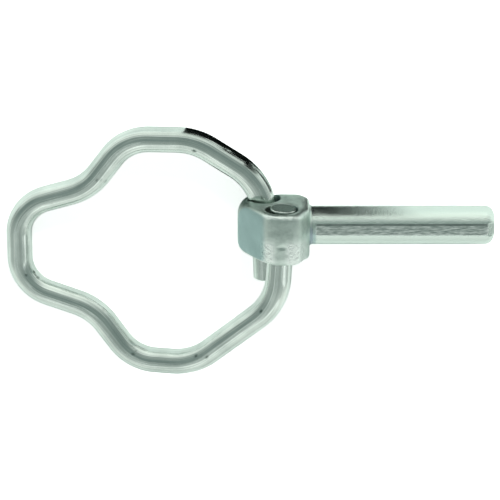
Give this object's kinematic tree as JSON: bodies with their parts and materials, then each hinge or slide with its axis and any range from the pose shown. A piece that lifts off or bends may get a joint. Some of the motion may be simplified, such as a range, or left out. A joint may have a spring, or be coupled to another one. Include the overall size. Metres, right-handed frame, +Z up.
{
  "type": "lynch pin",
  "caption": "Plated steel lynch pin: a plain round shank below a block head, with a sprung wire ring that swings over it.",
  "frame": {"origin": "on the shank's axis at the shoulder, where the shank leaves the head", "axes": "+X along the shank to its tip, +Y along the head's cross holes to the side where the ring's rear leg goes in, +Z up from the surface that it lies on"},
  "size_m": [0.1197, 0.063, 0.0204],
  "materials": {
    "forged_zinc": "bright zinc plate over a rough forged skin",
    "wire_zinc": "bright zinc plate over drawn spring wire"
  },
  "bodies": {
    "pin": {"pin_body": "forged_zinc"},
    "ring": {"ring": "wire_zinc"}
  },
  "joints": [
    {"name": "ring_swing", "type": "hinge", "parent": "pin", "child": "ring", "pos_m": [-0.00895, -0.0042, 0.0012], "axis": [0, 1, 0], "range_deg": [-180, 180], "deforming": ["ring"]}
  ]
}
